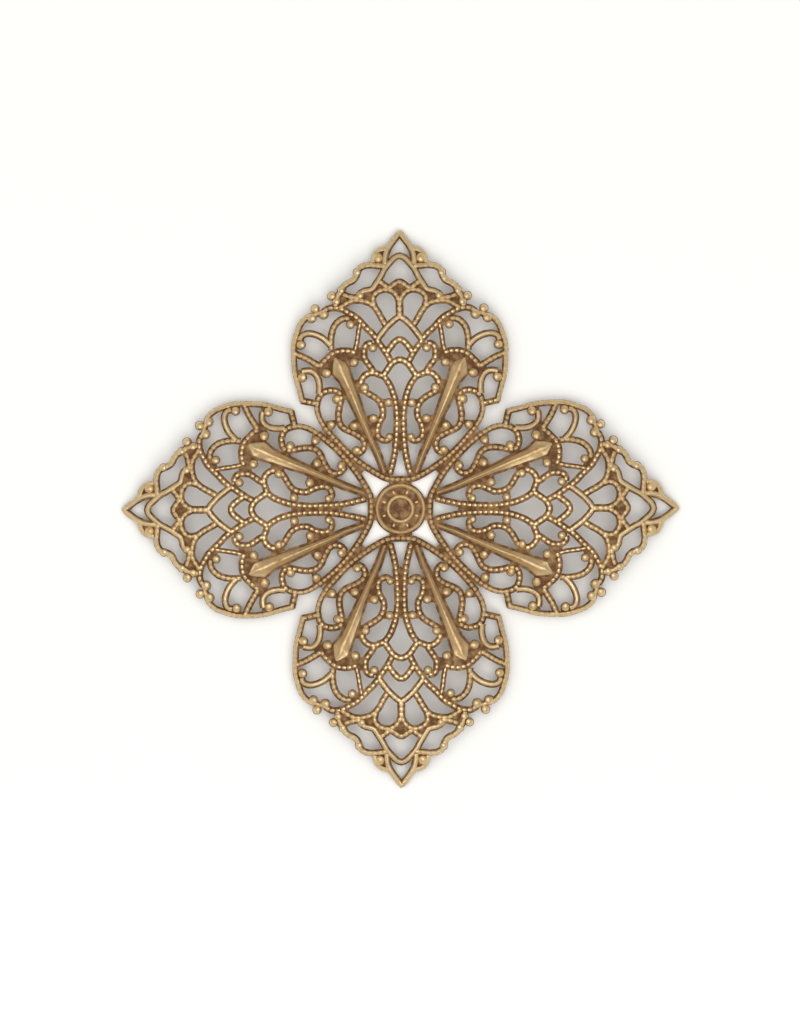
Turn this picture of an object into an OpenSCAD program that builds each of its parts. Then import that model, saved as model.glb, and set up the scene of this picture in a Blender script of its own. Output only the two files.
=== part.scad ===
// Filigree flower finding: one brass stamping with four domed petals, pierced right through.
// Every petal is the same, and each is its own mirror image, so one half petal is drawn and repeated.

/* [Flower] */
// Width from the tip of one petal to the tip of the petal opposite
span = 60; // [54:1:66]
// How high the dome of a petal stands above its tip and the hub
petal_rise = 3.5; // [3:0.25:4.5]

/* [Metal] */
// Thickness of the sheet where its ground is sunk
sheet_t = 0.45; // [0.4:0.05:0.6]
// Height of the wires above the sunk ground
relief = 0.3; // [0.2:0.05:0.35]
// Height of the lances above the sunk ground, at their broad end
lance_h = 0.8; // [0.7:0.05:0.9]

/* [Wires] */
// Width of a raised wire
ridge_w = 0.52; // [0.5:0.01:0.56]
// Width of the foot of sheet beside a wire
foot_w = 0.12; // [0.11:0.01:0.14]

/* [Hidden] */

// The tables are in millimetres for a flower 60 mm wide. In a half petal, x goes out from the
// petal's axis and y goes out from the hub.
table_span = 60;
k = span / table_span;
broader = 0.04;
tip_y = table_span / 2 - (ridge_w / 2 + broader) / k;

// Metal on the left and right of a wire's line, going from the tip to the hub: a rim wire is the
// bare edge of the flower, so it has no foot outside, and near the tip it is a little broader.
RIM = [ridge_w / 2, ridge_w / 2 + foot_w];
BROAD_RIM = [ridge_w / 2 + broader, ridge_w / 2 + foot_w + broader];
WIRE = [ridge_w / 2 + foot_w, ridge_w / 2 + foot_w];
THIN = [ridge_w / 2, ridge_w / 2];

// Columns of WIRES: name, metal on the left and right, places that the wire runs through
SIDES = 1;
PATH = 2;
WIRES = [
    ["tip rim", BROAD_RIM, [[0, tip_y], [0.15, 29.6], [0.35, 29.3], [0.7, 28.9], [1.05, 28.4],
        [1.3, 27.9], [1.5, 27.4], [1.55, 26.9], [1.55, 26.3]]],
    ["tip vee", WIRE, [[0, 27.2], [0.5, 27], [1, 26.5], [1.6, 25.8], [2.05, 24.95], [2.9, 23.6]]],
    ["tip hook", RIM, [[1.1, 28.1], [1.6, 28], [2.15, 27.85], [2.6, 27.45], [2.8, 26.95], [2.8, 26.5]]],
    ["scallop", BROAD_RIM, [[1.5, 26.1], [2.5, 26.2], [3.2, 26.25], [4, 26.1], [4.5, 25.65], [4.65, 25.1],
        [5, 24.6], [5.5, 24.35], [6, 24], [6.25, 23.45]]],
    ["diamond", WIRE, [[0, 24.4], [0.5, 24.15], [0.9, 23.85], [1.25, 23.8], [1.6, 24], [2.25, 24.5]]],
    ["oval", WIRE, [[0.05, 20.6], [0.05, 21.4], [0.05, 22.25], [0.25, 22.8], [0.65, 23.3], [1.2, 23.55],
        [1.8, 23.55], [2.4, 23.3], [2.8, 22.85], [2.85, 22.3], [2.7, 21.8]]],
    ["fan wire", WIRE, [[1.5, 19.75], [1.9, 20.4], [2.3, 21.15], [2.75, 21.75], [3.3, 22.15],
        [4, 22.35], [4.8, 22.4], [5.5, 22.2], [6.5, 21.55]]],
    ["upper chevron", WIRE, [[0, 20.6], [0.5, 20.35], [0.95, 19.95], [1.4, 19.5], [2.4, 18.2]]],
    ["lower chevron", WIRE, [[0, 18.2], [0.45, 18], [0.85, 17.55], [1.4, 16.8]]],
    ["fan arc", WIRE, [[0.95, 15.8], [1.35, 16.55], [1.8, 17.25], [2.2, 17.8], [2.5, 18.3], [3, 18.9],
        [3.6, 19.45], [4.2, 20.1], [4.8, 20.65], [5.4, 21], [6.1, 21.4], [6.85, 21.6],
        [7.55, 21.55], [8.15, 21.2]]],
    ["inner hook", WIRE, [[2.9, 23.6], [3.4, 23.45], [3.9, 23.35], [4.3, 23.05]]],
    ["hook base", WIRE, [[4.3, 22.6], [4.9, 22.7], [5.5, 22.8], [6.1, 23.05]]],
    ["notch", WIRE, [[6.25, 23.45], [6.6, 22.95], [6.8, 22.35], [6.85, 21.8]]],
    ["outer rim", RIM, [[8.3, 21.1], [8.85, 21], [9.35, 20.8], [9.95, 20.65], [10.65, 19.9],
        [11.05, 18.9], [11.35, 17.8], [11.4, 16.8], [11.3, 14.8], [10.8, 12.8], [10.55, 11.8]]],
    ["upper curl", WIRE, [[7.45, 17.6], [8.05, 18.2], [8.7, 18.6], [9.45, 18.85], [10.05, 18.85],
        [10.55, 18.6], [10.7, 18.15]]],
    ["inner curl", WIRE, [[7.35, 17.1], [7.4, 18], [7.3, 18.8], [7.05, 19.55], [6.55, 20.15],
        [5.95, 20.45], [5.4, 20.4]]],
    ["thin wire", THIN, [[4.25, 19.9], [4.4, 19.2], [4.6, 17.8], [4.8, 17]]],
    ["arch", WIRE, [[4.75, 16.7], [5.1, 16.9], [5.7, 17], [6.3, 17], [6.95, 16.85], [7.45, 16.55],
        [7.85, 16.15], [8.3, 15.7], [8.6, 15.2]]],
    ["side straight", WIRE, [[8.6, 15.3], [9.75, 16], [10.4, 16.35], [11.45, 16.8]]],
    ["side curl", WIRE, [[8.7, 12.4], [8.65, 13.1], [8.75, 13.8], [9, 14.4], [9.5, 14.8], [10.05, 14.85],
        [10.5, 14.75]]],
    ["corner", WIRE, [[10.55, 11.7], [9.45, 11.45], [8.95, 11.35]]],
    ["ring top", WIRE, [[6.3, 12.25], [6.7, 12.6], [7.25, 12.75], [7.8, 12.7], [8.3, 12.5],
        [8.65, 12.1], [8.85, 11.6]]],
    ["side edge", RIM, [[8.85, 11.6], [8.95, 10.8], [8.7, 9.8], [8.15, 8.85]]],
    ["diagonal edge", WIRE, [[8.15, 8.85], [7.2, 7.7], [6.2, 6.6], [5, 5.5], [3.7, 4.55], [2.4, 3.75],
        [1.3, 3.25], [0, 3.15]]],
    ["root wire", WIRE, [[6.35, 12.2], [6.35, 11.6], [6.5, 10.9], [6.6, 10.2], [6.55, 9.5],
        [6.3, 8.9], [5.8, 8.5], [5.2, 8.25], [4.6, 7.95], [4.1, 7.6], [3.85, 7.1], [3.9, 6.55],
        [4.2, 6.15], [4.6, 5.95]]],
    ["heart curl", WIRE, [[1.75, 14.25], [2.75, 14.65], [3.1, 15.15], [3.5, 15.7], [3.8, 16.2],
        [3.85, 16.8], [3.75, 17.4], [3.35, 17.75], [2.95, 17.75]]],
    ["oval curl", WIRE, [[2.75, 14.65], [3.3, 14.6], [3.75, 14.35], [4.1, 13.9], [4.2, 13.4]]],
    ["kite arch", WIRE, [[0, 16], [0.5, 15.85], [0.95, 15.5], [1.3, 15], [1.8, 14.25]]],
    ["centre wire", WIRE, [[1.75, 14.25], [1.4, 13.8], [1.1, 13.3], [0.85, 12.7], [0.65, 12.1],
        [0.5, 11.4], [0.4, 10.6], [0.35, 9.6], [0.4, 7.65], [0.5, 6.75], [0.6, 5.95], [0.95, 4.4],
        [1.15, 3.75]]],
    ["lower wire", WIRE, [[4, 12.8], [3.5, 12.45], [2.9, 12.1], [2.35, 11.7], [2, 11.15], [1.85, 10.5],
        [1.9, 9.9], [2.15, 9.45], [2.35, 8.95], [2.45, 8.35], [2.35, 7.8], [2, 7.45], [1.5, 7.35],
        [1.15, 7.55]]],
];

// Columns of GRAINS, the balls at the ends of curls and along the edge: x, y, radius
GRAINS = [
    [2.3, 27, 0.52], [4.55, 25.45, 0.4], [4.25, 22.95, 0.42], [6.3, 23.5, 0.38], [7.3, 22.9, 0.44],
    [6.8, 22.3, 0.42], [9.05, 21.55, 0.44], [9.45, 20.55, 0.5], [8.15, 20.9, 0.5], [5.3, 19.8, 0.42],
    [10.6, 17.65, 0.46], [2.9, 17.3, 0.42], [4.9, 15.75, 0.44], [7.9, 14.6, 0.48], [10.5, 14.15, 0.48],
    [3.8, 13.05, 0.42], [6.8, 11.8, 0.44], [1.25, 11.4, 0.42], [2.85, 9.7, 0.44], [4.95, 8.9, 0.44],
    [7.4, 9.05, 0.44], [1.15, 7.7, 0.38], [4.7, 6.3, 0.44],
];

// Width of the foot of sheet round a grain, and how far a grain's middle is above the sunk ground
grain_foot = 0.06;
grain_lift = 0.08;

// Columns of LANCE, the long blade of a half petal, from the hub outwards: x, y, half width on the
// axis side, half width on the outer side, height as a share of lance_h
LANCE = [
    [1.7, 3.9, 0.2, 0.2, 0.5],
    [2.4, 5.85, 0.28, 0.28, 0.6],
    [3.3, 7.85, 0.33, 0.33, 0.65],
    [4.15, 9.8, 0.42, 0.4, 0.7],
    [5, 11.8, 0.6, 0.5, 0.8],
    [5.85, 13.8, 0.75, 0.6, 0.95],
    [6.4, 14.9, 0.95, 0.95, 1],
    [6.5, 15.45, 0.8, 0.8, 0.9],
    [6.95, 16.25, 0.15, 0.15, 0.5],
];
lance_line = k * [for (row = LANCE) [row[0], row[1]]];
lance_left = k * [for (row = LANCE) row[2]];
lance_right = k * [for (row = LANCE) row[3]];
lance_lift = lance_h * [for (row = LANCE) row[4]];

// Width of the foot of sheet beside a lance
lance_foot = 0.2;

// Columns of WEBS, SUNK, BLIND and AXIS_SUNK, the fields of sheet between the wires: name, corners,
// which are under the wires around the field
CORNERS = 1;

// Small webs where wires run close together, level with the wires
WEBS = [
    ["tip hook", [[1.5, 28], [2.6, 27.8], [3, 27], [3, 26.3], [1.6, 26.3]]],
    ["inner hook", [[2.8, 23.45], [4.2, 23.15], [4.3, 22.65], [3.6, 22.25], [2.9, 22.05]]],
    ["diamond knee", [[1.7, 24], [2.4, 24.2], [2.7, 23.7], [2.1, 23.4]]],
    ["scallop hook", [[5.2, 22.55], [6.2, 22.95], [6.75, 22.25], [6.4, 21.7], [5.8, 22.15]]],
    ["fan", [[4.3, 19.9], [5.4, 20.8], [5.9, 20.5], [5.3, 20.1], [5.2, 19.55], [4.4, 19.3]]],
    ["upper curl", [[10.4, 18.7], [11.25, 18.8], [11.25, 16.7], [10.6, 16.45], [10.5, 17.6]]],
    ["heart curl", [[2.3, 17.9], [3.3, 17.8], [3, 17.2], [2.4, 17.3]]],
    ["heart side", [[3.9, 17.4], [4.8, 17.3], [4.9, 16], [4.1, 15.9]]],
    ["side knee", [[8.05, 15.1], [8.7, 15.4], [9.35, 15.3], [9.45, 14.9], [8.8, 14.4], [8.15, 14.2]]],
    ["side curl", [[10.4, 14.9], [11.25, 15], [11.1, 13.7], [10.6, 13.8]]],
    ["oval curl", [[4.2, 14], [5, 13.8], [4.6, 12.5], [4.1, 12.4], [4, 12.8]]],
    ["ring", [[5.5, 12], [6.1, 13], [6.5, 12.7], [6.4, 12], [5.9, 11.7]]],
    ["axis", [[-0.1, 11.7], [0.5, 11.8], [0.4, 8.85], [0.5, 6.75], [0.25, 6.35], [-0.1, 6.15]]],
    ["centre knee", [[0.5, 11.8], [1.9, 11.8], [1.9, 11], [0.5, 11]]],
    ["side foot", [[6.6, 9.6], [7.45, 9.55], [8.3, 9.45], [7.7, 8.45], [7.2, 8.75], [6.75, 9.15]]],
    ["root curl", [[0.4, 8.15], [1.1, 8.05], [1.1, 7.35], [0.5, 7.25]]],
    ["root wire", [[4.4, 5.85], [5.1, 6.45], [5.5, 6.05], [4.8, 5.5]]],
    ["hub knee", [[1, 3.4], [1.1, 4.25], [1.4, 4.35], [2, 4.05], [1.6, 3.4]]],
    ["diagonal", [[4.3, 3.7], [3.5, 4.4], [7.6, 8.25], [8.4, 7.45]]],
];

// Large fields, whose ground is sunk between the wires
SUNK = [
    ["arch", [[4.8, 16.7], [5.7, 17], [6.95, 16.8], [7.85, 16.1], [8.5, 15.2], [7.85, 14.4],
        [7.25, 14.7], [6, 15.1], [5.4, 15.2], [4.9, 15.5]]],
    ["lance root, axis side", [[2.5, 10.1], [4, 10], [3.7, 8.85], [3.3, 7.85], [2.8, 7.05], [2.4, 7.15],
        [2.4, 8.35], [2.2, 9.35]]],
    ["lance root, outer side", [[4.6, 9.8], [5.3, 9.35], [5.9, 8.65], [5.2, 8.25], [4.2, 7.65],
        [3.8, 7.05], [3.5, 6.65], [3.1, 7.05], [3.6, 8.25], [4.2, 9.5]]],
];

// The smallest openings of the pattern, sunk like a field instead of being pierced
BLIND = [
    ["side straight", [[8.9, 15], [9.95, 15.9], [11.1, 16.4], [11.1, 14.7]]],
    ["fan arc", [[2.6, 18.1], [4.2, 19.7], [4.5, 17.3], [3.6, 17.6]]],
    ["lance shoulder", [[6.1, 12.8], [8.5, 12.7], [8.7, 14.4], [7.95, 14.3], [7.15, 14.9]]],
    ["oval curl", [[4.5, 13.6], [5, 13.7], [5.3, 15.4], [4.6, 16.1], [4, 16], [3.2, 14.9]]],
    ["centre root", [[1.3, 4.05], [1.7, 4.15], [2.7, 7.25], [1.5, 7.15], [0.7, 7.45], [0.9, 5.4]]],
    ["lance foot", [[1.9, 3.55], [2.4, 3.8], [3.7, 4.6], [4.8, 5.4], [3.9, 6.15], [3.6, 7.15],
        [3.2, 7.05]]],
    ["root loop", [[4.5, 9.7], [5.3, 9.15], [5.9, 8.75], [6.4, 9.6], [6.2, 12.3], [5.8, 12.2]]],
    ["corner", [[9, 11.6], [10.3, 11.8], [10.8, 13.6], [10.3, 14.75], [9.5, 14.7], [9, 14.35],
        [8.8, 13.6], [8.7, 12.4]]],
];

// Fields on the petal's axis, drawn whole: the first is sunk on the real flower too
AXIS_SUNK = [
    ["tip diamond", [[0, 24.3], [0.9, 23.7], [0, 22.45], [-0.9, 23.7]]],
    ["kite", [[0, 18.15], [0.85, 17.5], [1.35, 16.7], [0.95, 15.7], [0, 16], [-0.95, 15.7],
        [-1.35, 16.7], [-0.85, 17.5]]],
];

// The hub: a flat disc with two raised rings, and a small bump between them every 45 degrees
hub_r = 2.8 * k;
hub_ring_r = 2.5 * k;
inner_ring_r = 1.3 * k;
ring_wire_r = 0.18;
bump_ring_r = 1.95 * k;
bump_r = 0.25;
bumps = 8;

// Reach of the opening between two petals and the hub
gusset_r = 1.9 * k;

// Each petal is the shell of a sphere. Its underside meets the table just outside the hub and just
// inside the tip, and the sheet lies flat on the table around the hub.
foot_in = 3 * k;
foot_out = 29.5 * k;
dome_y = (foot_in + foot_out) / 2;
dome_reach = (foot_out - foot_in) / 2;
under_r = (dome_reach ^ 2 + petal_rise ^ 2) / (2 * petal_rise);
ground_r = under_r + sheet_t;
wire_r = ground_r + relief;
dome_sink = under_r - petal_rise;
root_r = 5 * k;
wire_z = sheet_t + relief;
top_z = petal_rise + sheet_t + lance_h;

// Longest straight piece of a curve, and the width of the narrowest slot and web that are kept
chord = 1;
slot = 0.24;

// The row's places, with one more at each end. A wire that starts on the petal's axis crosses it
// square, so that it meets its mirror image without a notch.
function before_first(p) = p[0].x == 0 ? [-p[1].x, p[1].y] : 2 * p[0] - p[1];
function with_ends(p) = concat([before_first(p)], p, [2 * p[len(p) - 1] - p[len(p) - 2]]);

// A smooth curve through four places, from the second at t = 0 to the third at t = 1
function between(a, b, c, d, t) =
    0.5 * (2 * b + (c - a) * t + (2 * a - 5 * b + 4 * c - d) * t ^ 2
        + (3 * b - a - 3 * c + d) * t ^ 3);
function steps(a, b) = ceil(norm(b - a) / chord);
function smooth(p) =
    let(e = with_ends(p))
    concat(
        [for (i = [1 : len(e) - 3])
            let(n = steps(e[i], e[i + 1]))
            for (j = [0 : n - 1]) k * between(e[i - 1], e[i], e[i + 1], e[i + 2], j / n)],
        [k * p[len(p) - 1]]
    );

// The way a line of points goes at point i, level where it meets the petal's axis, and the line
// moved to its left by w, which is one distance or a list with a distance for each point
function way(q, i) =
    let(v = q[min(i + 1, len(q) - 1)] - q[max(i - 1, 0)])
    q[i].x == 0 ? [sign(v.x), 0] : v / norm(v);
function beside(q, w) =
    [for (i = [0 : len(q) - 1]) let(d = way(q, i)) q[i] + (is_list(w) ? w[i] : w) * [-d.y, d.x]];
function backwards(q) = [for (i = [len(q) - 1 : -1 : 0]) q[i]];

module strip(line, left, right) {
    polygon(concat(beside(line, left), backwards(beside(line, -right))));
}

// The point over place p on a petal's sphere of radius r
function over(p, r) = [p.x, p.y, sqrt(r ^ 2 - p.x ^ 2 - (p.y - dome_y) ^ 2) - dome_sink];

module each_petal() {
    for (turn = [0 : 90 : 270])
        rotate(turn)
            children();
}

module both_halves() {
    for (side = [0, 1])
        mirror([side, 0, 0])
            children();
}

module wires_flat() {
    for (wire = WIRES)
        strip(smooth(wire[PATH]), wire[SIDES][0], wire[SIDES][1]);
}

module grains_flat() {
    for (g = GRAINS)
        translate(k * [g.x, g.y])
            circle(r = g.z + grain_foot, $fn = 8);
}

module lance_flat(foot) {
    strip(lance_line, [for (w = lance_left) w + foot], [for (w = lance_right) w + foot]);
}

module fields_flat(rows) {
    for (field = rows)
        polygon(k * field[CORNERS]);
}

// All the metal of one petal, seen from above, before the dome
module petal_flat() {
    both_halves() {
        wires_flat();
        grains_flat();
        lance_flat(lance_foot);
        fields_flat(WEBS);
        fields_flat(SUNK);
        fields_flat(BLIND);
    }
    fields_flat(AXIS_SUNK);
}

module flower_flat() {
    each_petal()
        petal_flat();
    circle(r = hub_r, $fn = 48);
}

// The openings inside one petal
module petal_openings() {
    offset(delta = slot / 2)
        offset(delta = -slot / 2)
            difference() {
                fill()
                    petal_flat();
                petal_flat();
            }
}

// The opening between two petals and the hub
module diagonal_opening() {
    offset(delta = slot / 2)
        offset(delta = -slot / 2)
            difference() {
                translate([hub_r, hub_r])
                    circle(r = gusset_r, $fn = 24);
                flower_flat();
            }
}

// The flat pattern of the flower, pierced
module pattern() {
    difference() {
        offset(delta = -slot / 2)
            offset(delta = slot / 2)
                fill()
                    flower_flat();
        each_petal()
            petal_openings();
        each_petal()
            diagonal_opening();
    }
}

// A sunk field: it stops at the ridges around it, and leaves a foot round a lance or a grain
module sunk_field(field) {
    offset(delta = slot / 2)
        offset(delta = -(ridge_w + slot) / 2)
            difference() {
                polygon(k * field[CORNERS]);
                lance_flat(0);
                for (g = GRAINS)
                    translate(k * [g.x, g.y])
                        circle(r = g.z + grain_foot - ridge_w / 2, $fn = 6);
            }
}

module sunk_ground() {
    both_halves() {
        for (field = SUNK)
            sunk_field(field);
        for (field = BLIND)
            sunk_field(field);
    }
    for (field = AXIS_SUNK)
        sunk_field(field);
}

module domes(r) {
    each_petal()
        translate([0, dome_y, -dome_sink])
            sphere(r = r, $fn = 200);
}

// A lance: two slopes that meet in a ridge, with its foot just under the level of the wires
module lance() {
    foot_r = wire_r - relief / 2;
    left = beside(lance_line, lance_left);
    right = beside(lance_line, -lance_right);
    last = len(LANCE) - 1;
    points = [
        for (i = [0 : last])
            each [
                over(left[i], foot_r),
                over(lance_line[i], ground_r + lance_lift[i]),
                over(right[i], foot_r)
            ]
    ];
    slopes = [
        for (i = [0 : last - 1], side = [0 : 2])
            let(a = 3 * i + side, b = 3 * i + (side + 1) % 3)
            each [[a, a + 3, b], [b, a + 3, b + 3]]
    ];
    polyhedron(points, concat([[0, 1, 2]], slopes, [[3 * last + 2, 3 * last + 1, 3 * last]]));
}

// A ball of radius r at place p, its middle just above the sunk ground
module grain(p, r) {
    translate(over(p, ground_r + grain_lift))
        sphere(r = r, $fn = 32);
}

module hub_ring(r, z) {
    translate([0, 0, z])
        rotate_extrude($fn = 96)
            translate([r, 0])
                circle(r = ring_wire_r, $fn = 32);
}

// The domed sheet at the level of the wires, with its sunk fields and a recess in the hub
module sheet() {
    difference() {
        union() {
            domes(wire_r);
            cylinder(r = root_r, h = wire_z, $fn = 96);
        }
        difference() {
            linear_extrude(height = top_z)
                each_petal()
                    sunk_ground();
            domes(ground_r);
            cylinder(r = root_r, h = sheet_t, $fn = 96);
        }
        translate([0, 0, sheet_t])
            cylinder(r = hub_ring_r, h = top_z, $fn = 96);
    }
}

// All that stands up from the sheet
module raised_work() {
    each_petal()
        both_halves() {
            lance();
            for (g = GRAINS)
                grain(k * [g.x, g.y], g.z);
        }
    hub_ring(hub_ring_r, wire_z);
    hub_ring(inner_ring_r, sheet_t);
    for (i = [0 : bumps - 1])
        rotate((i + 0.5) * 360 / bumps)
            translate([bump_ring_r, 0, sheet_t])
                sphere(r = bump_r, $fn = 32);
}

module flower() {
    color("darkgoldenrod")
        intersection() {
            linear_extrude(height = top_z)
                pattern();
            difference() {
                union() {
                    sheet();
                    raised_work();
                }
                domes(under_r);
            }
        }
}

flower();
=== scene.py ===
# %% [markdown]
# # A filigree flower finding in antique brass
# The object is a single brass stamping, 60 mm from tip to tip: four pointed petals around a small
# round hub, pierced right through, with mock wires, beads and grains raised on its face. Each petal
# is pressed into a shallow dome. In this lesson the flower is first laid out flat, strand by strand,
# as if it were made of wire. Then all strands are fused into one closed body, and last the flat
# pattern is domed, in the order in which a stamping shop would pierce, emboss and dap a sheet.

import math

import bmesh
import bpy
import numpy as np
from mathutils import Matrix, Vector, noise
from mathutils.bvhtree import BVHTree


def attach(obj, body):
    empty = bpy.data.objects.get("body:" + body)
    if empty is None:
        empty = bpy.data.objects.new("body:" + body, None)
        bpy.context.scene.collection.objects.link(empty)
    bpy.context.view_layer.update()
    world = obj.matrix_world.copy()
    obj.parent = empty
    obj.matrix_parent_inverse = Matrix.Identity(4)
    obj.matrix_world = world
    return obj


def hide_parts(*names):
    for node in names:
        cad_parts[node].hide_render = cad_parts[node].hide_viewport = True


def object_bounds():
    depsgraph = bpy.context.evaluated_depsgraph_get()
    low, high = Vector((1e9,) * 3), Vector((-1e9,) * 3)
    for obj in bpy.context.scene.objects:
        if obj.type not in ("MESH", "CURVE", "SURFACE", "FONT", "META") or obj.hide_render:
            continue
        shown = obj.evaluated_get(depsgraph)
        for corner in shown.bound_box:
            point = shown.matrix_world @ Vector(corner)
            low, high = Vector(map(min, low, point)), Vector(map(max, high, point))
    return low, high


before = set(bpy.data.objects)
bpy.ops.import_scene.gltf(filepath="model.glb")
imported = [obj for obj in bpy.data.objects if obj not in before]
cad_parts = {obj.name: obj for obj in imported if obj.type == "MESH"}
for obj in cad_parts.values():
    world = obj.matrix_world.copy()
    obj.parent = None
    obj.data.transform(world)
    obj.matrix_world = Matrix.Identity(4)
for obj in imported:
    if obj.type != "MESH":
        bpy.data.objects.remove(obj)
scene = bpy.context.scene
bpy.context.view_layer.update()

# %% [markdown]
# ## Sizes
# The scene is in metres, and a bead on this flower is under half a millimetre wide, so the
# whole pattern is drawn in millimetres and made smaller once, at the end. The sheet's thickness, the
# height of the wires and the shape of the domes repeat the solid part's own values, because the
# finished model has to sit exactly where the solid part is.

# %% Name the sizes, in millimetres
MM = 0.001
HALF_SPAN = 30
SHEET = 0.45
RELIEF = 0.3
RIDGE_W = 0.5
FOOT_W = 0.13
LANCE_H = 0.8
BEAD = 0.57
PETALS = 4

print("wire top at", SHEET + RELIEF, "mm, beads every", BEAD, "mm")

# %% [markdown]
# ## The pattern as a table of wires
# All petals are alike, and each is its own mirror image, so it is enough to draw half a petal. In
# the tables, x goes out from the petal's axis and y goes out from the hub. A wire has a row with its
# name, the metal it has on the left and on the right of its line, how deep its beading is cut, and
# the places that it runs through. A table like this is easy to check against the real thing one
# wire at a time, and everything else is worked out from it. A rim is a wire on the flower's
# outline, and has no foot on its outer side.

# %% Lay out the wires
HAIR = 0.005
EDGE = RIDGE_W / 2 + HAIR
LEDGE = RIDGE_W / 2 + FOOT_W
THINNER = 0.1
BROADER = 0.04
# Metal on the left and on the right of a wire's line
RIM = (EDGE, LEDGE)
WIRE = (LEDGE, LEDGE)
THIN = (LEDGE - THINNER, LEDGE - THINNER)
BROAD_RIM = (EDGE + BROADER, LEDGE + BROADER)
# How deep the beading is cut
PLAIN, FAINT, SOFT, BEADED = 0, 0.25, 0.6, 1

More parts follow.
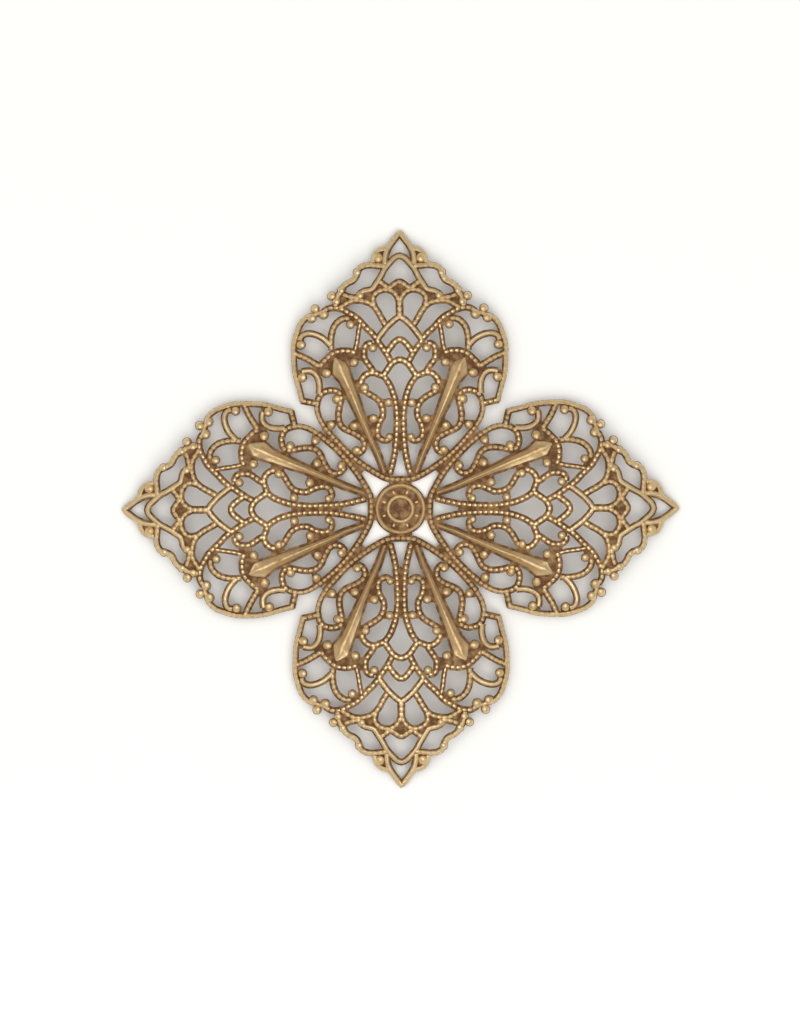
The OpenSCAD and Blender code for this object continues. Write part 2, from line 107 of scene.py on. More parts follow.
WIRES = [
    ("tip rim", BROAD_RIM, PLAIN, [(0, 29.7), (0.14, 29.6), (0.36, 29.3), (0.68, 28.9), (1.03, 28.4),
                                   (1.3, 27.9), (1.48, 27.4), (1.57, 26.9), (1.57, 26.3)]),
    ("tip vee", WIRE, PLAIN, [(0, 27.2), (0.5, 27), (1, 26.5), (1.6, 25.8), (2.05, 24.95), (2.9, 23.6)]),
    ("tip hook", RIM, PLAIN, [(1.1, 28.1), (1.6, 28), (2.15, 27.85), (2.6, 27.45), (2.8, 26.95),
                              (2.8, 26.5)]),
    ("scallop", BROAD_RIM, FAINT, [(1.5, 26.1), (2.5, 26.2), (3.2, 26.25), (4, 26.1), (4.5, 25.65),
                                   (4.65, 25.1), (5, 24.6), (5.5, 24.35), (6, 24), (6.25, 23.45)]),
    ("diamond", WIRE, SOFT, [(0, 24.4), (0.5, 24.15), (0.9, 23.85), (1.25, 23.8), (1.6, 24),
                             (2.25, 24.5)]),
    ("oval", WIRE, SOFT, [(0.05, 20.6), (0.05, 21.4), (0.05, 22.25), (0.25, 22.8), (0.65, 23.3),
                          (1.2, 23.55), (1.8, 23.55), (2.4, 23.3), (2.8, 22.85), (2.85, 22.3),
                          (2.7, 21.8)]),
    ("fan wire", WIRE, SOFT, [(1.5, 19.75), (1.9, 20.4), (2.3, 21.15), (2.75, 21.75), (3.3, 22.15),
                              (4, 22.35), (4.8, 22.4), (5.5, 22.2), (6.5, 21.55)]),
    ("upper chevron", WIRE, FAINT, [(0, 20.6), (0.5, 20.35), (0.95, 19.95), (1.4, 19.5), (2.4, 18.2)]),
    ("lower chevron", WIRE, SOFT, [(0, 18.2), (0.45, 18), (0.85, 17.55), (1.4, 16.8)]),
    ("fan arc", WIRE, BEADED, [(0.95, 15.8), (1.35, 16.55), (1.8, 17.25), (2.2, 17.8), (2.5, 18.3),
                               (3, 18.9), (3.6, 19.45), (4.2, 20.1), (4.8, 20.65), (5.4, 21),
                               (6.1, 21.4), (6.85, 21.6), (7.55, 21.55), (8.15, 21.2)]),
    ("inner hook", WIRE, PLAIN, [(2.9, 23.6), (3.4, 23.45), (3.9, 23.35), (4.3, 23.05)]),
    ("hook base", WIRE, SOFT, [(4.3, 22.6), (4.9, 22.7), (5.5, 22.8), (6.1, 23.05)]),
    ("notch", WIRE, PLAIN, [(6.25, 23.45), (6.6, 22.95), (6.8, 22.35), (6.85, 21.8)]),
    ("outer rim", RIM, FAINT, [(8.3, 21.1), (8.85, 21), (9.35, 20.8), (9.95, 20.65), (10.65, 19.9),
                               (11.05, 18.9), (11.35, 17.8), (11.4, 16.8), (11.3, 14.8), (10.8, 12.8),
                               (10.5, 11.5)]),
    ("upper curl", WIRE, PLAIN, [(7.45, 17.6), (8.05, 18.2), (8.7, 18.6), (9.45, 18.85), (10.05, 18.85),
                                 (10.55, 18.6), (10.7, 18.15)]),
    ("inner curl", WIRE, SOFT, [(7.35, 17.1), (7.4, 18), (7.3, 18.8), (7.05, 19.55), (6.55, 20.15),
                                (5.95, 20.45), (5.4, 20.4)]),
    ("thin wire", THIN, SOFT, [(4.25, 19.9), (4.4, 19.2), (4.6, 17.8), (4.8, 17)]),
    ("arch", WIRE, BEADED, [(4.75, 16.7), (5.1, 16.9), (5.7, 17), (6.3, 17), (6.95, 16.85),
                            (7.45, 16.55), (7.85, 16.15), (8.3, 15.7), (8.6, 15.2)]),
    ("side straight", WIRE, SOFT, [(8.6, 15.3), (9.75, 16), (10.4, 16.35), (11.45, 16.8)]),
    ("side curl", WIRE, PLAIN, [(8.7, 12.4), (8.65, 13.1), (8.75, 13.8), (9, 14.4), (9.5, 14.8),
                                (10.05, 14.85), (10.5, 14.75)]),
    ("corner", WIRE, BEADED, [(10.6, 11.72), (9.45, 11.45), (8.95, 11.35)]),
    ("ring top", WIRE, BEADED, [(6.3, 12.25), (6.7, 12.6), (7.25, 12.75), (7.8, 12.7), (8.3, 12.5),
                                (8.65, 12.1), (8.85, 11.6)]),
    ("side edge", RIM, SOFT, [(8.85, 11.6), (8.95, 10.8), (8.7, 9.8), (8.15, 8.85)]),
    ("diagonal edge", WIRE, BEADED, [(8.15, 8.85), (7.2, 7.7), (6.2, 6.6), (5, 5.5), (3.7, 4.55),
                                     (2.4, 3.75), (1.3, 3.25), (0, 3.15)]),
    ("root wire", WIRE, BEADED, [(6.35, 12.2), (6.35, 11.6), (6.5, 10.9), (6.6, 10.2), (6.55, 9.5),
                                 (6.3, 8.9), (5.8, 8.5), (5.2, 8.25), (4.6, 7.95), (4.1, 7.6),
                                 (3.85, 7.1), (3.9, 6.55), (4.2, 6.15), (4.6, 5.95)]),
    ("heart curl", WIRE, BEADED, [(1.75, 14.25), (2.75, 14.65), (3.1, 15.15), (3.5, 15.7), (3.8, 16.2),
                                  (3.85, 16.8), (3.75, 17.4), (3.35, 17.75), (2.95, 17.75)]),
    ("oval curl", WIRE, SOFT, [(2.75, 14.65), (3.3, 14.6), (3.75, 14.35), (4.1, 13.9), (4.2, 13.4)]),
    ("kite arch", WIRE, SOFT, [(0, 16), (0.5, 15.85), (0.95, 15.5), (1.3, 15), (1.8, 14.25)]),
    ("centre wire", WIRE, BEADED, [(1.75, 14.25), (1.4, 13.8), (1.1, 13.3), (0.85, 12.7), (0.65, 12.1),
                                   (0.5, 11.4), (0.4, 10.6), (0.35, 9.6), (0.4, 7.65), (0.5, 6.75),
                                   (0.6, 5.95), (0.95, 4.4), (1.15, 3.75)]),
    ("lower wire", WIRE, BEADED, [(4, 12.8), (3.5, 12.45), (2.9, 12.1), (2.35, 11.7), (2, 11.15),
                                  (1.85, 10.5), (1.9, 9.9), (2.15, 9.45), (2.35, 8.95), (2.45, 8.35),
                                  (2.35, 7.8), (2, 7.45), (1.5, 7.35), (1.15, 7.55)]),
]
print(len(WIRES), "wires in half a petal")

# %% [markdown]
# ## Grains, lances and webs
# A grain is the small ball at the end of a curl, or on the flower's outline. A lance is the long
# blade that grows from the hub, one in each half petal, with two slopes that meet in a soft ridge.
# A web is a bit of sheet that was left between wires where they run close together.

# %% Lay out the grains, the lance and the webs
# Columns: x, y, radius
GRAINS = [
    (2.3, 27, 0.52), (4.55, 25.45, 0.4), (4.25, 22.95, 0.42), (6.3, 23.5, 0.38), (7.3, 22.9, 0.44),
    (6.8, 22.3, 0.42), (9.05, 21.55, 0.44), (9.45, 20.55, 0.5), (8.15, 20.9, 0.5), (5.3, 19.8, 0.42),
    (10.6, 17.65, 0.46), (2.9, 17.3, 0.42), (4.9, 15.75, 0.44), (7.9, 14.6, 0.48), (10.5, 14.15, 0.48),
    (3.8, 13.05, 0.42), (6.8, 11.8, 0.44), (1.25, 11.4, 0.42), (2.85, 9.7, 0.44), (4.95, 8.9, 0.44),
    (7.4, 9.05, 0.44), (1.15, 7.7, 0.38), (4.7, 6.3, 0.44),
]
# Columns: x, y, half width on the axis side, half width on the outer side, share of LANCE_H
LANCE = [
    (1.7, 3.9, 0.2, 0.2, 0.5), (2.4, 5.85, 0.28, 0.28, 0.6), (3.3, 7.85, 0.33, 0.33, 0.65),
    (4.15, 9.8, 0.42, 0.4, 0.7), (5, 11.8, 0.6, 0.5, 0.8), (5.85, 13.8, 0.75, 0.6, 0.95),
    (6.4, 14.9, 0.95, 0.93, 1), (6.5, 15.45, 0.8, 0.82, 0.92), (6.95, 16.25, 0.15, 0.15, 0.5),
]
WEBS = [
    ("tip hook", [(1.5, 28), (2.6, 27.8), (3, 27), (3, 26.3), (1.6, 26.3)]),
    ("tip diamond", [(-0.1, 24.3), (0.9, 23.7), (0.3, 22.75), (-0.1, 22.45)]),
    ("inner hook", [(2.8, 23.45), (4.2, 23.15), (4.3, 22.65), (3.6, 22.25), (2.9, 22.05)]),
    ("diamond knee", [(1.7, 24), (2.4, 24.2), (2.7, 23.7), (2.1, 23.4)]),
    ("scallop hook", [(5.2, 22.55), (6.2, 22.95), (6.75, 22.25), (6.4, 21.7), (5.8, 22.15)]),
    ("heart side", [(3.9, 17.4), (4.8, 17.3), (4.9, 16), (4.1, 15.9)]),
    ("arch", [(4.8, 16.7), (5.7, 17), (6.95, 16.8), (7.85, 16.1), (8.5, 15.2), (7.85, 14.4),
              (7.25, 14.7), (6, 15.1), (5.4, 15.2), (4.9, 15.5)]),
    ("side knee", [(8.05, 15.1), (8.7, 15.4), (9.35, 15.3), (9.45, 14.9), (8.8, 14.4), (8.15, 14.2)]),
    ("oval curl", [(4.2, 14), (5, 13.8), (4.6, 12.5), (4.1, 12.4), (4, 12.8)]),
    ("ring", [(5.5, 12), (6.1, 13), (6.5, 12.7), (6.4, 12), (5.9, 11.7)]),
    ("lance root, axis side", [(2.5, 10.1), (4, 10), (3.7, 8.85), (3.3, 7.85), (2.8, 7.05), (2.4, 7.15),
                               (2.4, 8.35), (2.2, 9.35)]),
    ("lance root, outer side", [(4.6, 9.8), (5.3, 9.35), (5.9, 8.65), (5.2, 8.25), (4.2, 7.65),
                                (3.8, 7.05), (3.5, 6.65), (3.1, 7.05), (3.6, 8.25), (4.2, 9.5)]),
    ("fan", [(4.3, 19.9), (5.4, 20.8), (5.9, 20.5), (5.3, 20.1), (4.9, 19.7), (4.4, 19.5)]),
    ("upper curl", [(10.4, 18.7), (11.25, 18.8), (11.25, 17.1), (10.6, 17.2)]),
    ("side curl", [(10.4, 14.9), (11.25, 15), (11.1, 13.7), (10.6, 13.8)]),
    ("diagonal", [(4.3, 3.7), (3.5, 4.4), (7.6, 8.25), (8.4, 7.45)]),
    ("axis", [(-0.1, 11.7), (0.5, 11.8), (0.4, 8.85), (0.5, 6.75), (0.25, 6.35), (-0.1, 6.15)]),
    ("side foot", [(6.6, 9.6), (7.45, 9.55), (8.3, 9.45), (7.7, 8.45), (7.2, 8.75), (6.75, 9.15)]),
    ("centre knee", [(0.5, 11.8), (1.9, 11.8), (1.9, 11), (0.5, 11)]),
    ("heart curl", [(2.3, 17.9), (3.3, 17.8), (3, 17.2), (2.4, 17.3)]),
    ("hub tip", [(0.6, 2.6), (0.6, 3.2), (1.25, 3.25), (1.2, 2.55)]),
    ("hub knee", [(1, 3.4), (1.1, 4.25), (1.4, 4.35), (2, 4.05), (1.6, 3.4)]),
    ("root curl", [(0.4, 8.15), (1.1, 8.05), (1.1, 7.35), (0.5, 7.25)]),
    ("root wire", [(4.4, 5.85), (5.1, 6.45), (5.5, 6.05), (4.8, 5.5)]),
]
print(len(GRAINS), "grains and", len(WEBS), "webs in half a petal")

# %% [markdown]
# ## From a few places to a smooth, measured line
# A wire that is bent by hand runs through its places without a corner. A curve object could do
# that, but beads have to be equally long, with a whole number of them from end to end. So the smooth
# line is worked out here and its length measured, and then it can be marked at any share of it.

# %% Smooth a line and mark it at shares of its length
FINE_STEP = 0.08


def smooth_line(path):
    places = [Vector(p) for p in path]
    places = [2 * places[0] - places[1]] + places + [2 * places[-1] - places[-2]]
    line = []
    for a, b, c, d in zip(places, places[1:], places[2:], places[3:]):
        count = max(2, math.ceil((c - b).length / FINE_STEP))
        for i in range(count):
            t = i / count
            line.append(0.5 * (2 * b + (c - a) * t + (2 * a - 5 * b + 4 * c - d) * t ** 2
                               + (3 * b - a - 3 * c + d) * t ** 3))
    return line + [places[-2]]


def marks(line, shares):
    """A mark at each share of the line's length: its place and the way that the line goes there."""
    run = np.concatenate([[0], np.cumsum([(b - a).length for a, b in zip(line, line[1:])])])
    found = []
    for distance in run[-1] * np.array(shares):
        i = min(int(np.searchsorted(run, distance, side="right")) - 1, len(line) - 2)
        share = (distance - run[i]) / (run[i + 1] - run[i])
        way = line[min(i + 2, len(line) - 1)] - line[max(i - 1, 0)]
        found.append((line[i].lerp(line[i + 1], share), way.normalized()))
    return found


def line_length(line):
    return sum((b - a).length for a, b in zip(line, line[1:]))


lengths = [line_length(smooth_line(path)) for name, sides, bead, path in WIRES]
print("the wires of half a petal are", round(sum(lengths)), "mm long, the longest",
      round(max(lengths), 1), "mm")

# %% [markdown]
# ## Sweeping a strand
# Every strand is one closed body that follows a line. It starts as a ring of a few vertices, and
# the ring is extruded again and again, each time moved into the next cross-section. Extruding the
# ring's edges, and not a face, leaves no wall inside. At the end the two open ends are filled.

# %% Sweep a ring of vertices along cross-sections
def next_ring(bm, ring):
    edges = [bm.edges.get(pair) for pair in zip(ring, ring[1:] + ring[:1])]
    made = bmesh.ops.extrude_edge_only(bm, edges=edges)["geom"]
    at = {tuple(v.co): v for v in made if isinstance(v, bmesh.types.BMVert)}
    return [at[tuple(v.co)] for v in ring]


def sweep(sections):
    bm = bmesh.new()
    ring = [bm.verts.new(corner) for corner in sections[0]]
    for pair in zip(ring, ring[1:] + ring[:1]):
        bm.edges.new(pair)
    for section in sections[1:]:
        ring = next_ring(bm, ring)
        for vert, corner in zip(ring, section):
            vert.co = corner
    bmesh.ops.holes_fill(bm, edges=bm.edges, sides=0)
    bmesh.ops.recalc_face_normals(bm, faces=bm.faces)
    if bm.calc_volume(signed=True) < 0:
        bmesh.ops.reverse_faces(bm, faces=bm.faces)
    return bm


def across(place, way, profile):
    """A profile of (sideways, height) pairs, stood across a line at one of its marks."""
    side = Vector((-way.y, way.x))
    return [(*(place + side * a), z) for a, z in profile]


square = [(-0.5, 0), (0.5, 0), (0.5, 1), (-0.5, 1)]
rod = sweep([across(Vector((0, y)), Vector((0, 1)), square) for y in range(3)])
print("a square rod swept in two steps has", len(rod.faces), "faces and", rod.calc_volume(), "cubic mm")
rod.free()

# %% [markdown]
# ## The wires
# The real wires are mock wires: a rounded ridge that stands on a flat foot, pressed from the same
# sheet. On most of them the ridge is cut into round beads, deep on some and soft or faint on others,
# and the deeper the cut, the slimmer the ridge. One sweep makes foot and ridge together, with four
# cross-sections to a deep bead: one in the notch, where the ridge gets narrow and low, and three
# over the bead. Soft and faint beads do with three. Separate balls on a strip would look the same
# from above, but would need several times as many faces.

# %% Make the wires of a petal
PLAIN_STEP = 0.32
# Columns: share of the way from one notch to the next, share of the full bead there
BEAD_SHAPE = [(0, 0), (0.21, 0.78), (0.5, 1), (0.79, 0.78)]
SOFT_SHAPE = [(0, 0), (0.25, 1), (0.75, 1)]
# Shares that the beading takes off the ridge's width everywhere, and off its width and height in
# the notches
SLIM = 0.14
NOTCH_WIDTH = 0.5
NOTCH_DEPTH = 0.85
# Columns: share of the ridge's half width, share of its height
RIDGE_SHAPE = [(1, 0), (0.86, 0.62), (0.42, 1), (-0.42, 1), (-0.86, 0.62), (-1, 0)]


def wire(sides, bead, path):
    left, right = sides
    line = smooth_line(path)
    if bead:
        shape = BEAD_SHAPE if bead == BEADED else SOFT_SHAPE
        count = max(1, round(line_length(line) / BEAD))
    else:
        shape = [(0, 1)]
        count = max(2, round(line_length(line) / PLAIN_STEP))
    shares = [(i + share) / count for i in range(count) for share, swell in shape] + [1]
    swells = [swell for share, swell in shape] * count + [shape[0][1]]
    sections = []
    for (place, way), swell in zip(marks(line, shares), swells):
        cut = bead * (1 - swell)
        half_width = (right - FOOT_W) * (1 - SLIM * bead) * (1 - NOTCH_WIDTH * cut)
        rise = RELIEF * (1 - NOTCH_DEPTH * cut)
        ridge = [(half_width * a, SHEET + rise * b) for a, b in RIDGE_SHAPE]
        foot = [(-right, 0), (left, 0), (left, SHEET)]
        sections.append(across(place, way, foot + ridge + [(-right, SHEET)]))
    return sweep(sections)


def mirrored(bm):
    copy = bm.copy()
    bmesh.ops.scale(copy, vec=(-1, 1, 1), verts=copy.verts)
    bmesh.ops.reverse_faces(copy, faces=copy.faces)
    return copy


strands = []
for name, sides, bead, path in WIRES:
    mirror_path = [(-x, y) for x, y in path]
    if path[0][0] == 0:
        strands.append(wire(sides, bead, mirror_path[:0:-1] + path))
    elif path[-1][0] == 0:
        strands.append(wire(sides, bead, path + mirror_path[-2::-1]))
    else:
        half = wire(sides, bead, path)
        strands += [half, mirrored(half)]
print(len(strands), "strands,", sum(len(bm.faces) for bm in strands), "faces")

# %% [markdown]
# ## Grains, lances and webs as bodies
# A grain is a ball that stands on a round foot: a sphere and a short cylinder. A lance is swept like
# a wire, with its own width and height at each of its places, once for the blade and once for the
# flat flange around it. A web is a face, drawn corner by corner, that is extruded to the sheet's
# thickness.

# %% Make the grains, lances and webs of a petal
GRAIN_LIFT = 0.08
GRAIN_FOOT = 0.06
GRAIN_SIDES = 14
GRAIN_RINGS = 8
LANCE_FLANGE = 0.2
# Columns: share of the blade's half width, share of its height
BLADE_SHAPE = [(1, 0), (0.26, 0.87), (0.08, 1)]


def grain(x, y, r):
    bm = bmesh.new()
    ball = Matrix.Translation((x, y, SHEET + GRAIN_LIFT))
    bmesh.ops.create_uvsphere(bm, u_segments=GRAIN_SIDES, v_segments=GRAIN_RINGS, radius=r,
                              matrix=ball)
    return bm


def grain_foot(x, y, r):
    bm = bmesh.new()
    r += GRAIN_FOOT
    foot = Matrix.Translation((x, y, SHEET / 2))
    bmesh.ops.create_cone(bm, cap_ends=True, segments=GRAIN_SIDES, radius1=r, radius2=r,
                          depth=SHEET, matrix=foot)
    return bm


def lance(profile):
    line = [Vector(row[:2]) for row in LANCE]
    sections = []
    for i, (x, y, left, right, lift) in enumerate(LANCE):
        way = (line[min(i + 1, len(line) - 1)] - line[max(i - 1, 0)]).normalized()
        sections.append(across(line[i], way, profile(left, right, LANCE_H * lift)))
    return sweep(sections)


def blade_profile(left, right, lift):
    up = [(left * a, SHEET + lift * b) for a, b in BLADE_SHAPE]
    down = [(-right * a, SHEET + lift * b) for a, b in reversed(BLADE_SHAPE)]
    return [(-right, SHEET / 2), (left, SHEET / 2)] + up + down


def flange_profile(left, right, lift):
    left += LANCE_FLANGE
    right += LANCE_FLANGE
    return [(-right, 0), (left, 0), (left, SHEET), (-right, SHEET)]


def web(corners):
    bm = bmesh.new()
    face = bm.faces.new([bm.verts.new((x, y, 0)) for x, y in corners])
    made = bmesh.ops.extrude_face_region(bm, geom=[face])["geom"]
    top = [v for v in made if isinstance(v, bmesh.types.BMVert)]
    bmesh.ops.translate(bm, vec=(0, 0, SHEET), verts=top)
    bmesh.ops.recalc_face_normals(bm, faces=bm.faces)
    return bm


halves = [grain(*row) for row in GRAINS] + [grain_foot(*row) for row in GRAINS]
halves += [lance(blade_profile), lance(flange_profile)]
halves += [web(corners) for name, corners in WEBS]
for half in halves:
    strands += [half, mirrored(half)]
print(len(strands), "bodies in a petal")

# %% [markdown]
# ## Fusing the strands into a petal
# The strands only overlap so far. A Boolean union with the Manifold solver makes one closed body of
# all of them in less than a second, because it takes a whole collection at once. It wants every
# body to be closed, which the sweep, the sphere and the cylinder all are.

# %% Fuse a collection of bodies
def as_object(bm, name, collection):
    mesh = bpy.data.meshes.new(name)
    bm.to_mesh(mesh)
    bm.free()
    body = bpy.data.objects.new(name, mesh)
    collection.objects.link(body)
    return body


def fused(bodies, name):
    """One bmesh from a list of closed ones."""
    bench = bpy.data.collections.new("bench")
    scene.collection.children.link(bench)
    objects = [as_object(bm, name, bench) for bm in bodies]
    first = objects[0]
    bench.objects.unlink(first)
    scene.collection.objects.link(first)
    join = first.modifiers.new("fuse", "BOOLEAN")
    join.operation = "UNION"
    join.operand_type = "COLLECTION"
    join.collection = bench
    join.solver = "MANIFOLD"
    graph = bpy.context.evaluated_depsgraph_get()
    result = bmesh.new()
    result.from_mesh(bpy.data.meshes.new_from_object(first.evaluated_get(graph)))
    for body in objects:
        bpy.data.objects.remove(body)
    bpy.data.collections.remove(bench)
    return result


petal = fused(strands, "petal")
print("a petal has", len(petal.faces), "faces and", round(petal.calc_volume(), 1), "cubic mm")

# %% [markdown]
# ## The hub
# The hub is turned work in look, if not in fact: a flat disc with two raised rings and a ring of
# small bumps between them. Its outline is drawn once, from the middle outwards, and spun around the
# axis.

# %% Spin the hub and set its bumps
# Columns: distance from the middle, height
HUB_OUTLINE = [
    (0, 0), (2.85, 0), (2.85, 0.4), (2.72, 0.5), (2.68, 0.66), (2.62, 0.82), (2.54, 0.88), (2.46, 0.85),
    (2.4, 0.75), (2.34, 0.62), (2.28, 0.5), (2.2, 0.45), (1.55, 0.45), (1.5, 0.58), (1.42, 0.7),
    (1.33, 0.74), (1.24, 0.7), (1.16, 0.56), (1.1, 0.4), (0, 0.36),
]
HUB_STEPS = 64
BUMPS = 8
BUMP_R = 0.25
BUMP_HALF_WIDTH = 0.15
BUMP_HEIGHT = 0.12
BUMP_RING_R = 1.9


def spun_hub():
    bm = bmesh.new()
    verts = [bm.verts.new((r, 0, z)) for r, z in HUB_OUTLINE]
    edges = [bm.edges.new(pair) for pair in zip(verts, verts[1:])]
    bmesh.ops.spin(bm, geom=verts + edges, axis=(0, 0, 1), cent=(0, 0, 0), angle=2 * math.pi,
                   steps=HUB_STEPS, use_merge=True)
    bmesh.ops.remove_doubles(bm, verts=bm.verts, dist=0.0001)
    bmesh.ops.recalc_face_normals(bm, faces=bm.faces)
    return bm


def hub_bump(i):
    bm = bmesh.new()
    turn = Matrix.Rotation((i + 0.5) * 2 * math.pi / BUMPS, 4, "Z")
    flattened = Matrix.Diagonal((1, BUMP_HALF_WIDTH / BUMP_R, BUMP_HEIGHT / BUMP_R, 1))
    place = turn @ Matrix.Translation((BUMP_RING_R, 0, SHEET)) @ flattened
    bmesh.ops.create_uvsphere(bm, u_segments=14, v_segments=10, radius=BUMP_R, matrix=place)
    return bm


def turned(bm, quarter):
    copy = bm.copy()
    turn = Matrix.Rotation(quarter * 2 * math.pi / PETALS, 3, "Z")
    bmesh.ops.rotate(copy, matrix=turn, verts=copy.verts)
    return copy


bodies = [turned(petal, quarter) for quarter in range(PETALS)]
bodies += [spun_hub()] + [hub_bump(i) for i in range(BUMPS)]
flower = fused(bodies, "flower")
print("the flat flower has", len(flower.faces), "faces and",
      sum(len(f.verts) - 2 for f in flower.faces), "triangles")

# %% [markdown]
# ## What the patina needs to know
# Antique brass is darkened all over and then rubbed, so the colour depends on the shape: the ground
# and the notches stay dark, and whatever stands proud is bright. Two numbers are stored with each
# vertex for the material to read: how high it is above the ground, and how open it is, the share of
# short lines of sight that leave it freely. The flat flower is the best place to take both.

# %% Measure height and openness
SIGHT = 0.7
SIGHT_LINES = 14
SIGHT_LIFT = 0.02
LOWEST_SIGHT = 0.15


def sight_directions():
    """Directions spread evenly over the upper half of a ball."""
    turn = math.pi * (3 - math.sqrt(5))
    found = []
    for i in range(SIGHT_LINES):
        z = LOWEST_SIGHT + (1 - LOWEST_SIGHT) * (i + 0.5) / SIGHT_LINES
        r = math.sqrt(1 - z * z)
        found.append(Vector((r * math.cos(i * turn), r * math.sin(i * turn), z)))
    return found


def openness(bm):
    tree = BVHTree.FromBMesh(bm)
    lines = sight_directions()
    values = []
    for vert in bm.verts:
        start = vert.co + vert.normal * SIGHT_LIFT
        free = sum(1 for way in lines if tree.ray_cast(start, way, SIGHT)[0] is None)
        values.append(free / len(lines))
    return values


bmesh.ops.recalc_face_normals(flower, faces=flower.faces)
flower.normal_update()
open_values = openness(flower)
height_layer = flower.verts.layers.float.new("height")
open_layer = flower.verts.layers.float.new("open")
for vert, value in zip(flower.verts, open_values):
    vert[height_layer] = (vert.co.z - SHEET) / RELIEF
    vert[open_layer] = value
covered = sum(face.calc_area() * max(0, face.normal.z) for face in flower.faces)
print("the flat metal covers", round(covered), "square mm and has", round(flower.calc_volume()),
      "cubic mm")
print("openness runs from", round(min(open_values), 2), "to", round(max(open_values), 2))

# %% [markdown]
# ## Doming
# The press pushes each petal up into a part of a ball. The same is done here to the vertices: each
# one is lifted to the highest of the four domes at its place, thicker by its own height, or left at
# its height where no dome reaches. Where two domes meet, a soft maximum rounds the valley. A little
# smooth noise keeps the four petals from being perfect copies, as the real ones are not. Its seed
# is set, because otherwise it comes from the clock and each run gives another flower.

# %% Dome the flower and set it in metres
PETAL_RISE = 3.5
FOOT_IN = 3
FOOT_OUT = 29.5
DOME_Y = (FOOT_IN + FOOT_OUT) / 2
DOME_REACH = (FOOT_OUT - FOOT_IN) / 2
UNDER_R = (DOME_REACH ** 2 + PETAL_RISE ** 2) / (2 * PETAL_RISE)
DOME_SINK = UNDER_R - PETAL_RISE
SOFTNESS = 0.12
DOME_PLACES = [(0, DOME_Y), (-DOME_Y, 0), (0, -DOME_Y), (DOME_Y, 0)]
WANDER = 0.045
WANDER_SCALE = 0.35
WANDER_SEED = 1


def domed(x, y, h):
    levels = [h]
    for cx, cy in DOME_PLACES:
        gap = (UNDER_R + h) ** 2 - (x - cx) ** 2 - (y - cy) ** 2
        if gap > 0:
            levels.append(math.sqrt(gap) - DOME_SINK)
    top = max(levels)
    return top + SOFTNESS * math.log(sum(math.exp((level - top) / SOFTNESS) for level in levels))


noise.seed_set(WANDER_SEED)
for vert in flower.verts:
    x, y, h = vert.co
    drift = noise.noise_vector(Vector((x, y, 0)) * WANDER_SCALE) * WANDER
    z = domed(x, y, h) - domed(HALF_SPAN, HALF_SPAN, h) + h
    vert.co = MM * Vector((x + drift.x, y + drift.y, z))
flower.normal_update()
print("the domes rise to", round(max(vert.co.z for vert in flower.verts) / MM, 2), "mm")

# %% [markdown]
# ## Soft and sharp edges
# A stamping has crisp edges where the punch cut it and soft ones where it was only pressed. Faces
# that meet at a shallow angle are shaded as one smooth surface, and the rest keep their edge.

# %% Shade the flower
SHARP = math.radians(42)
for face in flower.faces:
    face.smooth = True
for edge in flower.edges:
    edge.smooth = edge.calc_face_angle(math.pi) < SHARP

piece = as_object(flower, "brass_flower", scene.collection)
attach(piece, "root")
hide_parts("flower")
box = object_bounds()
print("the visual part measures, in mm:", [round(1000 * (b - a), 2) for a, b in zip(*box)])

# %% [markdown]
# ## Antique brass
# One material does it all. How far the patina is rubbed away is worked out from the two stored
# numbers: a place that stands proud and is open is rubbed, and the rest stays dark. Patches and
# specks of noise break that up, less on the ground than on the wires. Whatever stands well above the
# wires, the lances most and the larger grains a little, is then darkened again as painted shade, which
# stands in for the shade on their slopes. The lances also carry streaks along their length, so their
# noise is stretched outwards from the hub. The result drives two things at once: where it is high,
# the colour goes from dark brown to pale brass and the surface gets smoother, as on rubbed metal;
# where it is low, from the patina or from the painted shade, the metal stays dark and rough.

# %% Start the brass, with helpers for its nodes
def linear(r, g, b):
    """A colour picked on a 0 to 255 screen scale, as the shader wants it."""
    return [((v / 255 + 0.055) / 1.055) ** 2.4 for v in (r, g, b)] + [1]


brass = bpy.data.materials.new("antique_brass")
brass.use_nodes = True
nodes = brass.node_tree.nodes
links = brass.node_tree.links
shader = nodes["Principled BSDF"]
shader.inputs["Metallic"].default_value = 1


def add_node(kind, **values):
    node = nodes.new(kind)
    for key, value in values.items():
        setattr(node, key, value)
    return node


def math_node(operation, a, b):
    node = add_node("ShaderNodeMath", operation=operation)
    for socket, value in zip(node.inputs, (a, b)):
        if isinstance(value, (int, float)):
            socket.default_value = value
        else:
            links.new(value, socket)
    return node.outputs[0]


def map_range(value, low, high, to_low, to_high):
    node = add_node("ShaderNodeMapRange", interpolation_type="SMOOTHSTEP")
    links.new(value, node.inputs["Value"])
    numbers = {"From Min": low, "From Max": high, "To Min": to_low, "To Max": to_high}
    for name, number in numbers.items():
        node.inputs[name].default_value = number
    return node.outputs["Result"]


coordinates = add_node("ShaderNodeTexCoord").outputs["Object"]


def set_stops(ramp, stops):
    """Fill a new colour ramp from pairs of a position and a colour."""
    for position, colour in stops[1:-1]:
        ramp.elements.new(position)
    for element, (position, colour) in zip(ramp.elements, stops):
        element.position = position
        element.color = colour


def noise_node(scale, detail, vector=coordinates):
    node = add_node("ShaderNodeTexNoise")
    links.new(vector, node.inputs["Vector"])
    node.inputs["Scale"].default_value = scale
    node.inputs["Detail"].default_value = detail
    return node.outputs["Fac"]


def swing(noise_value, depth):
    """A noise as a swing to both sides of nought."""
    return math_node("MULTIPLY", math_node("SUBTRACT", noise_value, 0.5), depth)


print("brass starts with", len(nodes), "nodes")

# %% Rub what stands proud and is open, and paint shade on what stands tall
# From where to where a height, in reliefs above the ground, or an openness takes effect
RAISED = (0, 0.7)
TALL_SHADE_AND_STREAKS = (1.1, 2.4)
CLEARED = (0.2, 0.88)
# How far each kind of place is rubbed, and how deep the painted shade on the tall parts goes
GROUND_RUB = 0.09
WIRE_RUB = 0.82
TALL_PAINTED_SHADE = 0.4
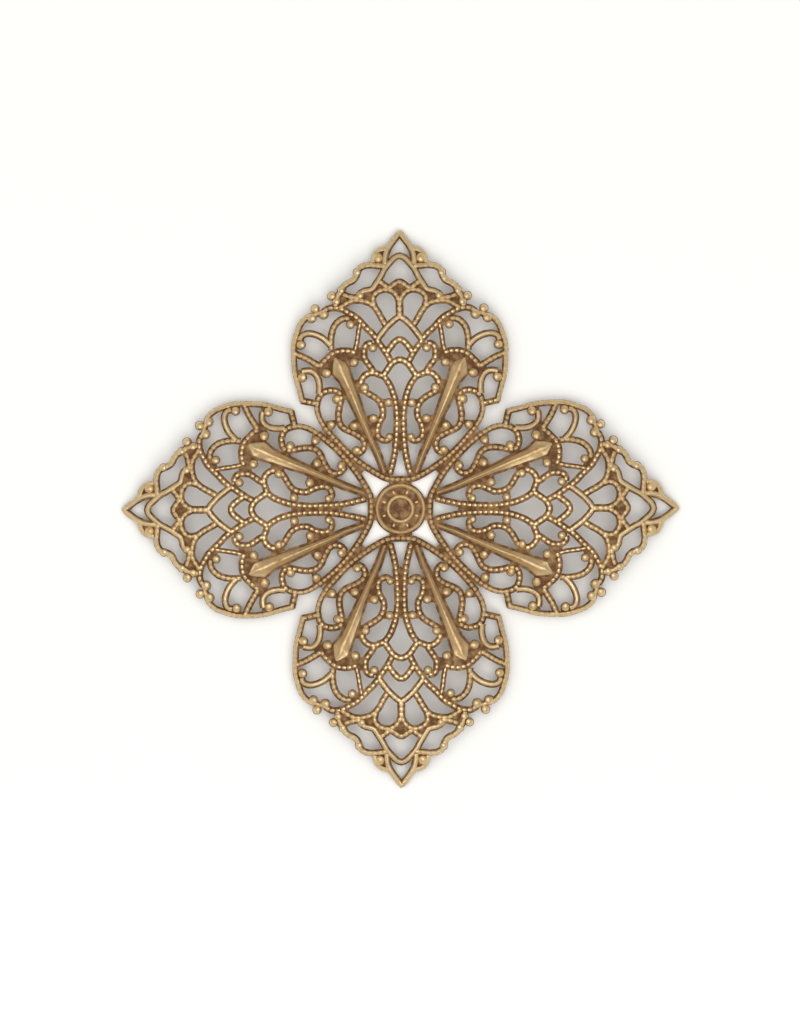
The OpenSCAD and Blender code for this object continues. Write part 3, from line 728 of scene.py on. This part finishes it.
# Noise cells in a metre, and how far the noise goes
PATCH_SCALE, PATCH_DEPTH = 420, 0.35
SPECK_SCALE, SPECK_DEPTH = 1700, 1.1
GROUND_MOTTLE = 0.45

height = add_node("ShaderNodeAttribute", attribute_name="height").outputs["Fac"]
openness_value = add_node("ShaderNodeAttribute", attribute_name="open").outputs["Fac"]
raised = map_range(height, *RAISED, 0, 1)
tall_shade_and_streaks = map_range(height, *TALL_SHADE_AND_STREAKS, 0, 1)
cleared = map_range(openness_value, *CLEARED, 0, 1)
patches = swing(noise_node(PATCH_SCALE, 4), PATCH_DEPTH)
specks = swing(noise_node(SPECK_SCALE, 5), SPECK_DEPTH)
mottle = math_node("ADD", patches, specks)
reach = math_node("ADD", math_node("MULTIPLY", raised, 1 - GROUND_MOTTLE), GROUND_MOTTLE)

rubbing_and_shade = math_node("MULTIPLY", math_node("MULTIPLY", raised, cleared), WIRE_RUB)
rubbing_and_shade = math_node("ADD", rubbing_and_shade, math_node("MULTIPLY", mottle, reach))
rubbing_and_shade = math_node("ADD", rubbing_and_shade, GROUND_RUB)
# Painted shade: the lances and the tops of the larger grains are darkened, standing in for the shade on
# their slopes
rubbing_and_shade = math_node("SUBTRACT", rubbing_and_shade, math_node("MULTIPLY", tall_shade_and_streaks, TALL_PAINTED_SHADE))
print("the mask brings it to", len(nodes), "nodes")

# %% Streak the lances
STREAKS_AROUND = 80
STREAKS_OUTWARD = 400
STREAK_DEPTH = 1.2

plan = add_node("ShaderNodeSeparateXYZ")
links.new(coordinates, plan.inputs["Vector"])
around = math_node("ARCTAN2", plan.outputs["Y"], plan.outputs["X"])
outward = add_node("ShaderNodeVectorMath", operation="LENGTH")
links.new(coordinates, outward.inputs[0])
fan = add_node("ShaderNodeCombineXYZ")
links.new(math_node("MULTIPLY", around, STREAKS_AROUND), fan.inputs["X"])
links.new(math_node("MULTIPLY", outward.outputs["Value"], STREAKS_OUTWARD), fan.inputs["Y"])
streaks = swing(noise_node(1, 3, fan.outputs["Vector"]), STREAK_DEPTH)
rubbing_and_shade = math_node("ADD", rubbing_and_shade, math_node("MULTIPLY", streaks, tall_shade_and_streaks))
print("the streaks bring it to", len(nodes), "nodes")

# %% Turn the rubbing and the painted shade into colour and gloss
DARK, BRASS, BRIGHT = linear(115, 84, 59), linear(212, 180, 133), linear(234, 210, 164)
ROUGH_DARK = 0.75
ROUGH_RUBBED = 0.53
GRIT_SCALE = 5200
GRIT_HEIGHT = 0.00005

colours = add_node("ShaderNodeValToRGB")
set_stops(colours.color_ramp, [(0.05, DARK), (0.37, BRASS), (0.95, BRIGHT)])
links.new(rubbing_and_shade, colours.inputs["Fac"])
links.new(colours.outputs["Color"], shader.inputs["Base Color"])

roughness = map_range(rubbing_and_shade, 0, 1, ROUGH_DARK, ROUGH_RUBBED)
links.new(roughness, shader.inputs["Roughness"])

grit = noise_node(GRIT_SCALE, 3)
bump = add_node("ShaderNodeBump")
bump.inputs["Strength"].default_value = 1
bump.inputs["Distance"].default_value = GRIT_HEIGHT
links.new(grit, bump.inputs["Height"])
links.new(bump.outputs["Normal"], shader.inputs["Normal"])

piece.data.materials.clear()
piece.data.materials.append(brass)
print("brass has", len(nodes), "nodes")

# %% [markdown]
# ## Floor, light and camera
# The flower lies on a pale floor, in a soft light that is strongest right above it and fades towards
# the walls, with a faint window and a lamp at its sides. That way whatever faces up is bright, and
# the slopes of wires and lances are darker. The camera looks straight down from a metre and a half,
# so far that the petals' domes hardly widen them.

# %% Lay the floor
FLOOR_HALF_SIZE = 1.5
FLOOR_GAP = 0.00002
floor_bm = bmesh.new()
bmesh.ops.create_grid(floor_bm, x_segments=1, y_segments=1, size=FLOOR_HALF_SIZE)
bmesh.ops.translate(floor_bm, vec=(0, 0, -FLOOR_GAP), verts=floor_bm.verts)
floor = as_object(floor_bm, "floor", scene.collection)
floor_material = bpy.data.materials.new("floor")
floor_material.use_nodes = True
floor_shader = floor_material.node_tree.nodes["Principled BSDF"]
floor_shader.inputs["Base Color"].default_value = linear(240, 239, 235)
floor_shader.inputs["Roughness"].default_value = 0.9
floor_shader.inputs["Specular IOR Level"].default_value = 0.1
floor.data.materials.append(floor_material)
print("the floor is", 2 * FLOOR_HALF_SIZE, "m wide")

# %% Light it softly from above
# Columns: height in the sky as the sine of its angle, brightness there
SKY = [(0, 0.25), (0.6, 0.5), (0.86, 1.3), (1, 5.6)]
SKY_STRENGTH = 0.68
LAMP_DISTANCE = 0.6

world = bpy.data.worlds.new("room")
scene.world = world
world.use_nodes = True
world_nodes = world.node_tree.nodes
background = world_nodes["Background"]
direction = world_nodes.new("ShaderNodeTexCoord")
parts = world_nodes.new("ShaderNodeSeparateXYZ")
sky = world_nodes.new("ShaderNodeValToRGB")
set_stops(sky.color_ramp, [(level, (brightness,) * 3 + (1,)) for level, brightness in SKY])
world.node_tree.links.new(direction.outputs["Generated"], parts.inputs["Vector"])
world.node_tree.links.new(parts.outputs["Z"], sky.inputs["Fac"])
world.node_tree.links.new(sky.outputs["Color"], background.inputs["Color"])
background.inputs["Strength"].default_value = SKY_STRENGTH


def soft_light(name, azimuth, elevation, power, size):
    lamp = bpy.data.lights.new(name, "AREA")
    lamp.energy = power
    lamp.size = size
    holder = bpy.data.objects.new(name, lamp)
    scene.collection.objects.link(holder)
    a, e = math.radians(azimuth), math.radians(elevation)
    way = Vector((math.cos(e) * math.cos(a), math.cos(e) * math.sin(a), math.sin(e)))
    holder.location = way * LAMP_DISTANCE
    holder.rotation_euler = way.to_track_quat("Z", "Y").to_euler()


soft_light("window", 290, 58, 0.8, 0.35)
soft_light("lamp", 190, 50, 0.3, 0.35)
print("the sky is", SKY[-1][1] / SKY[0][1], "times as bright overhead as at the horizon")

# %% Set the camera
CAMERA_HEIGHT = 1.5
CAMERA_OFF = (-0.00005, 0.0001)
FRAME_HEIGHT = 0.10925
SENSOR_HEIGHT = 24
TURN = math.radians(-0.25)
camera_data = bpy.data.cameras.new("camera")
camera = bpy.data.objects.new("camera", camera_data)
scene.collection.objects.link(camera)
camera_data.sensor_fit = "VERTICAL"
camera_data.sensor_height = SENSOR_HEIGHT
camera_data.lens = camera_data.sensor_height * CAMERA_HEIGHT / FRAME_HEIGHT
camera_data.clip_start = 0.01
camera.location = (*CAMERA_OFF, CAMERA_HEIGHT)
camera.rotation_euler = (0, 0, TURN)
scene.camera = camera
scene.view_settings.view_transform = "Standard"
print("the frame is", round(FRAME_HEIGHT / MM, 1), "mm high")
